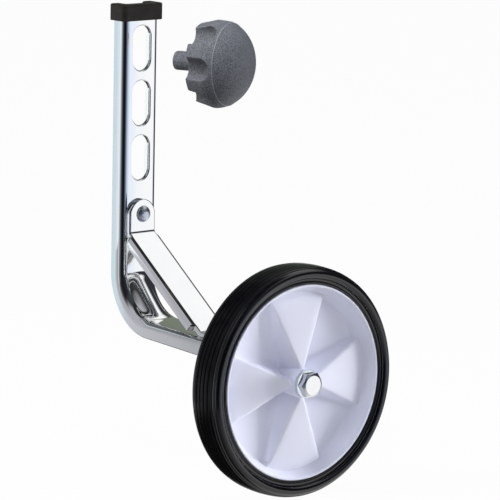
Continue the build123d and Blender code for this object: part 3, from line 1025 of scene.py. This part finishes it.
# %% Slot punch
slot_half = 6.5
slot_roll = 0.9
slot_pitch = 31.65
slot_count = 3
punch_steps = 48
punch_start = -1.0
flare_angles = [math.radians(angle) for angle in (15, 30, 45, 60, 75, 90)]
punch_rows = [(punch_start, 1 - math.sin(flare_angles[0]))]
punch_rows += [(slot_roll * (1 - math.cos(bend)), 1 - math.sin(bend)) for bend in flare_angles]
punch_rows += [(sheet - depth, flare) for depth, flare in reversed(punch_rows)]
punch = bmesh.new()
punch_net = []
for depth, flare in punch_rows:
    radius = slot_half + slot_roll * flare
    outline = []
    for index in range(punch_steps):
        angle = 2 * math.pi * (index + 0.5) / punch_steps
        height = slot_half if math.sin(angle) > 0 else -slot_half
        place = (radius * math.cos(angle), depth, height + radius * math.sin(angle))
        outline.append(punch.verts.new(Vector(place) * mm))
    punch_net.append(outline)
join_rows(punch, punch_net, ends=(0, -1))
punch_object = new_object("slot_punch", outward_mesh("slot_punch", punch, "bright_steel"))
print("punch rows:", len(punch_rows))

# %% Slots tree
slots, slots_inputs = new_tree("slots", {
    "Geometry": "Geometry",
    "Punch": "Object",
    "Count": "Int",
    "First": "Vector",
    "Pitch": "Vector",
})
slot_row = add(slots, "GeometryNodeMeshLine", {
    "Count": slots_inputs["Count"],
    "Start Location": slots_inputs["First"],
    "Offset": slots_inputs["Pitch"],
})
slot_punches = add(slots, "GeometryNodeInstanceOnPoints", {
    "Points": slot_row,
    "Instance": read_shape(slots, slots_inputs["Punch"]),
})
slot_meshes = {"Mesh 1": slots_inputs["Geometry"], "Mesh 2": slot_punches}
slot_cut = add(slots, "GeometryNodeMeshBoolean", slot_meshes, operation="DIFFERENCE", solver="EXACT")
end_tree(slots, slot_cut, slots_inputs)
slotted_mesh = grown("arm_channel_sheet", slots, "bright_steel", {
    "Punch": punch_object,
    "Count": slot_count,
    "First": Vector((0, 0, -slot_pitch)) * mm,
    "Pitch": Vector((0, 0, slot_pitch)) * mm,
}, channel_mesh)
print("faces after punching:", len(slotted_mesh.polygons))

# %% Arm with its tongue
slot_margin = 0.2
slot_reach = (slot_half + slot_roll + slot_margin) * mm
flat_share = 0.995
arm = form_of(nodes["arm_channel"].data)
cut_through = arm.verts[:] + arm.edges[:] + arm.faces[:]
cut_at = foot_end + foot_along * weld
bmesh.ops.bisect_plane(arm, geom=cut_through, plane_co=cut_at, plane_no=foot_along, clear_inner=True)
bmesh.ops.holes_fill(arm, edges=[edge for edge in arm.edges if edge.is_boundary])
print("tongue faces:", len(arm.faces))
arm.from_mesh(slotted_mesh)
for edge in arm.edges:
    level = [abs(face.normal.y) > flat_share for face in edge.link_faces]
    in_slots = all(abs(vert.co.x) < slot_reach and vert.co.z > bend_centre.z for vert in edge.verts)
    edge.smooth = not in_slots or all(level) or not any(level)
even_normals = "WEIGHTED_NORMAL", {"weight": 50, "keep_sharp": True}
arm_mesh = outward_mesh("arm_channel_sheet", arm, "bright_steel", keep_sharp=True)
placed("arm_channel_sheet", worked(arm_mesh, *even_normals), "arm", ["arm_channel"])
for used_up in (route_line, section_line, punch_object):
    bpy.data.objects.remove(used_up)

# %% [markdown]
# ## Brace
# The brace is a strap whose sides are turned down, left flat at both ends for the rivets. Rounding the
# solid's edges is hard where its flat ends meet the turned sides. So the strap is a net, as the disc
# is: rows along its bent line, each with a section whose width and depth follow the place along it.

# %% Brace line
brace_half = 11.5
brace_depth = 6.0
brace_roll = 3.4
brace_bend = 2.2
brace_slope = math.radians(36)
bend_steps = 8
tab_half = 9.5
tab_tip = 0.45
tab_roll = 1.3
tab_rise = 19.2
tab_run = 20.0
side_start = 1.27
side_stop = 4.56
side_round = 2.4
strap_top = Vector((-brace_sheet, max(vertex.co.z for vertex in nodes["brace"].data.vertices) / mm))
strap_bend = strap_top - Vector((0, tab_rise))
strap_fall = Vector((-math.cos(brace_slope), -math.sin(brace_slope)))
strap_seat = foot_up.yz
strap_drop = foot_level / mm + brace_sheet - strap_bend.dot(strap_seat)
strap_length = strap_drop / strap_fall.dot(strap_seat)
strap_foot = strap_bend + strap_fall * strap_length
strap_end = strap_foot + foot_along.yz * tab_run
upper_reach = brace_bend * math.tan((math.pi / 2 - brace_slope) / 2)
lower_reach = brace_bend * math.tan((brace_slope - foot_slope) / 2)
strap_line = rounded_line([
    (*strap_top, 0),
    (*strap_bend, upper_reach),
    (*strap_foot, lower_reach),
    (*strap_end, 0),
], bend_steps)
print("strap reaches", round(-strap_end.x, 1), "mm out")

# %% Brace section
strap_marks = [0.0]
for place, next_place in zip(strap_line, strap_line[1:]):
    strap_marks.append(strap_marks[-1] + (next_place - place).length)
strap_total = strap_marks[-1]
upper_bend_end, lower_bend_start = strap_marks[bend_steps + 1], strap_marks[bend_steps + 2]
side_from = upper_bend_end + side_start - upper_reach
side_to = lower_bend_start + lower_reach - side_stop
tab_round = tab_half - tab_tip
least_inner = 0.2
lip_round = 0.5
inner_round = 1.0


def strap_section(distance):
    """Half of the strap's section at a distance along it, from outer to inner face."""
    tip = min(distance, strap_total - distance)
    half = tab_tip + math.sqrt(max(0, tab_round**2 - max(0, tab_round - tip) ** 2))
    inside = min(1, max(0, min(distance - side_from, side_to - distance) / side_round))
    depth = brace_sheet + (brace_depth - brace_sheet) * math.sqrt(1 - (1 - inside) ** 2)
    half += (brace_half - tab_half) * eased(inside)
    roll = tab_roll + (brace_roll - tab_roll) * eased(inside)
    inner = max(half - brace_sheet, least_inner * half)
    return rounded_line([
        (0, 0, 0),
        (half, 0, roll),
        (half, depth, lip_round),
        (inner, depth, lip_round),
        (inner, brace_sheet, inner_round),
        (0, brace_sheet, 0),
    ], steps=8, run=2)


print("turned sides from", round(side_from, 2), "to", round(side_to, 2), "mm along")

# %% Brace rows
near_corner = 0.001
strap_ways = [(after - before).normalized() for before, after in zip(strap_line, strap_line[1:])]


def strap_place(distance):
    """Place and outward direction of the strap's outer face, at a distance along its line."""
    index = max(i for i, mark in enumerate(strap_marks[:-1]) if mark <= distance + weld)
    share = (distance - strap_marks[index]) / (strap_marks[index + 1] - strap_marks[index])
    way = strap_ways[index]
    if share < near_corner:
        way = way + strap_ways[max(index - 1, 0)]
    if share > 1 - near_corner:
        way = way + strap_ways[min(index + 1, len(strap_ways) - 1)]
    return strap_line[index].lerp(strap_line[index + 1], share), Vector((way.y, -way.x)).normalized()


row_places = strap_marks[:]
for angle in range(0, 91, 9):
    share = 1 - math.cos(math.radians(angle))
    row_places += [tab_round * share, strap_total - tab_round * share]
    row_places += [side_from + side_round * share, side_to - side_round * share]
rounded_places = {round(place, 3) for place in row_places}
strap_rows = sorted(place for place in rounded_places if place <= strap_total)
print("strap rows:", len(strap_rows))

# %% Brace net
brace = bmesh.new()
brace_net = []
for distance in strap_rows:
    place, outer = strap_place(distance)
    verts = []
    for point in mirrored(strap_section(distance), left_to_right):
        spot = place - outer * point.y
        verts.append(brace.verts.new(Vector((point.x, spot.x, spot.y)) * mm))
    brace_net.append(verts)
join_rows(brace, brace_net, ends=(0, -1))
brace_mesh = worked(outward_mesh("brace_strap", brace, "bright_steel"), *even_normals)
placed("brace_strap", brace_mesh, "arm", ["brace"])

# %% [markdown]
# ## Hand knob
# The knob is a thick moulding whose flutes run out into the dome, and all its edges are soft. Its solid
# has the right flutes, so it isn't modelled again: a copy is melted into fine even cells and smoothed a
# little, which rounds every edge alike, as polishing a mould does. Between the two, whatever stands
# out of a flat round body is drawn back to it, so that the dome runs over the shoulder in one curve.
# The mould's parting line is a thin bead in front of the flutes. Its finish is lighter than the knob's, a painted
# highlight along the ridge.

# %% Hand knob
knob_cell = 0.42 * mm
knob_body_radius = 25 * mm
knob_body_height = 20.7 * mm
knob_body_back = 7.5 * mm
melting = "REMESH", {"mode": "VOXEL", "voxel_size": knob_cell, "use_smooth_shade": True}
polishing = "SMOOTH", {"factor": 0.5, "iterations": 5}
knob_solid = form_of(nodes["knob_grip"].data)
knob_cells = worked(outward_mesh("knob_moulding", knob_solid, "knob_plastic"), *melting)
body_centre = knob_centre - knob_axis * knob_body_back
for vertex in knob_cells.vertices:
    reach = vertex.co - body_centre
    height = reach.dot(knob_axis)
    aside = reach - knob_axis * height
    size = math.hypot(aside.length / knob_body_radius, height / knob_body_height)
    if height > 0 and size > 1:
        vertex.co = body_centre + reach / size
knob_mesh = worked(knob_cells, *polishing)
knob = placed("knob_moulding", knob_mesh, "knob", ["knob_grip"])
knob.visible_glossy = False

# %% Parting line
bead_front = 0.3
bead_rise = 0.18
bead_sunk = 0.4
bead_foot = 0.35
bead_flat = 0.12
bead_steps = 160
bead_share = (knob_body_back + bead_front * mm) / knob_body_height
bead_radius = knob_body_radius / mm * math.sqrt(1 - bead_share**2)
bead = [
    (bead_radius - bead_sunk, bead_front + bead_foot),
    (bead_radius + bead_rise, bead_front + bead_flat),
    (bead_radius + bead_rise, bead_front - bead_flat),
    (bead_radius - bead_sunk, bead_front - bead_foot),
]
bead_mesh = turned("knob_parting_line", bead, bead_steps, knob_axis, knob_centre, "knob_seam")
parting_line = placed("knob_parting_line", bead_mesh, "knob", [])
parting_line.visible_glossy = False

# %% [markdown]
# ## Softened pieces
# The cap and the axle's hardware have plain shapes whose solids are right but for their edges. For
# these, copying the solid and rounding its sharp edges is enough. The solid's loose triangles are
# merged first, flat faces are joined so that the new edges run evenly, and large faces keep their own
# normals. The bolt is hidden from reflections, so that the washer under its head mirrors the bright room
# and stands out as a pale ring.

# %% Softened pieces
sharp_angle = math.radians(24)
flat_angle = math.radians(0.4)
round_steps = {"segments": 3, "profile": 0.5, "affect": "EDGES", "clamp_overlap": True}


def softened(node, width, finish):
    """A copy of a CAD node with its sharp edges rounded over a width in millimetres."""
    form = form_of(nodes[node].data)
    bmesh.ops.dissolve_limit(form, angle_limit=flat_angle, verts=form.verts, edges=form.edges)
    sharp = [edge for edge in form.edges if edge.calc_face_angle(0) > sharp_angle]
    bmesh.ops.bevel(form, geom=sharp, offset=width * mm, **round_steps)
    return worked(outward_mesh(node + "_softened", form, finish), *even_normals)


soft_pieces = {
    "end_cap": (0.35, "cap_plastic", "cap_plastic"),
    "axle_bolt": (0.2, "zinc_fastener", "zinc_fastener"),
    "front_washer": (0.25, "zinc_washer", "zinc_fastener"),
    "rear_washer": (0.25, "zinc_washer", "zinc_fastener"),
    "lock_nut": (0.25, "zinc_fastener", "zinc_fastener"),
}
for node, (width, finish, slot) in soft_pieces.items():
    piece = placed(node + "_softened", softened(node, width, finish), "arm", [node])
    piece.visible_glossy = node != "axle_bolt"
